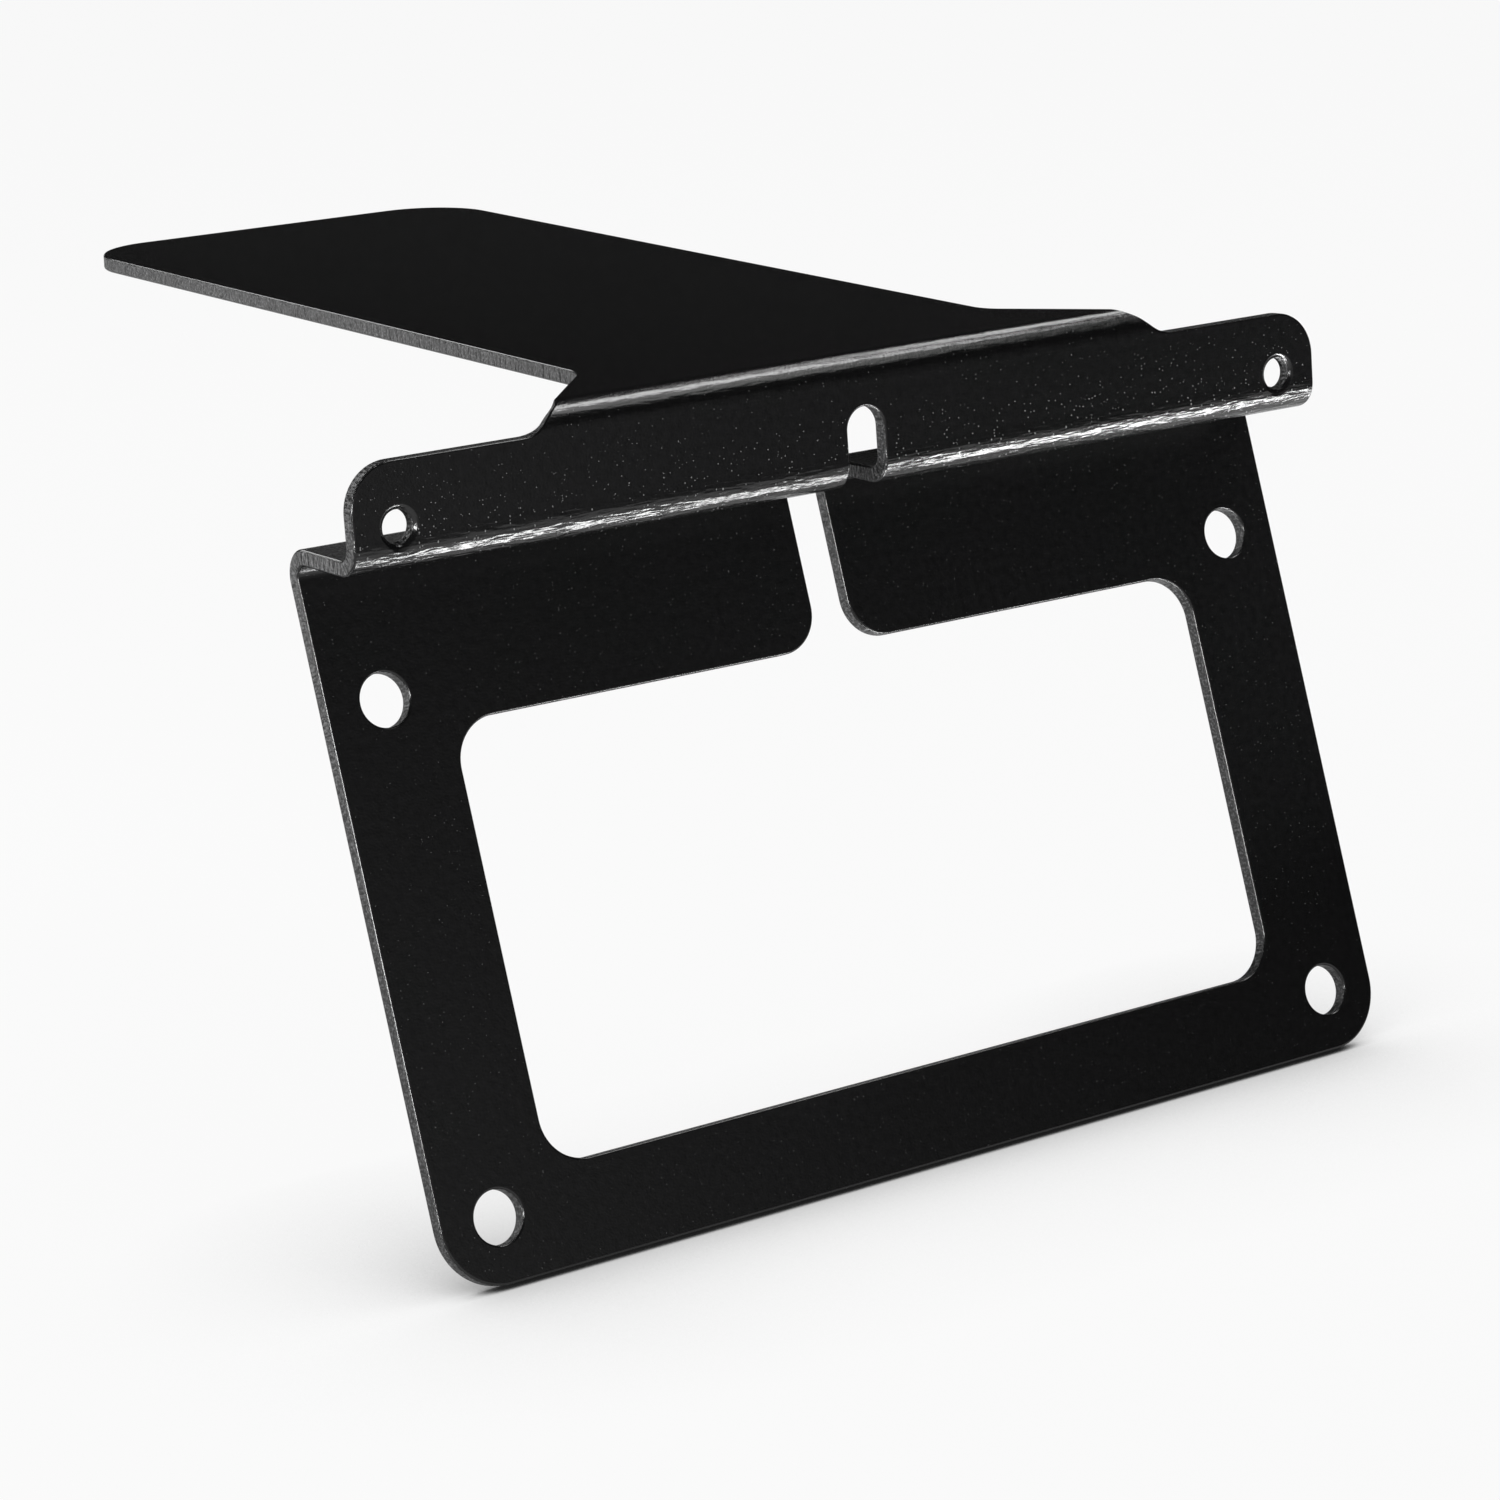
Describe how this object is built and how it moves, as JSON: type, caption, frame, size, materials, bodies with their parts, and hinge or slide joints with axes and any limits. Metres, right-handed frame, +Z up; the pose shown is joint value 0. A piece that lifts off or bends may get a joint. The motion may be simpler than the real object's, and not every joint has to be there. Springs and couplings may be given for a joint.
{
  "type": "tail tidy",
  "caption": "Folded sheet bracket that carries a number plate and indicators below the tail of a motorcycle.",
  "frame": {"origin": "middle of the top face of the tongue", "axes": "+X across the motorcycle, +Y towards the free end of the tongue and the front of the motorcycle, +Z up, square to the tongue; the plate frame faces -Y and slightly up"},
  "size_m": [0.164, 0.1816, 0.1131],
  "materials": {
    "powder_coat": "satin black powder coat"
  },
  "bodies": {
    "root": {"folded_bracket": "powder_coat"}
  },
  "joints": []
}
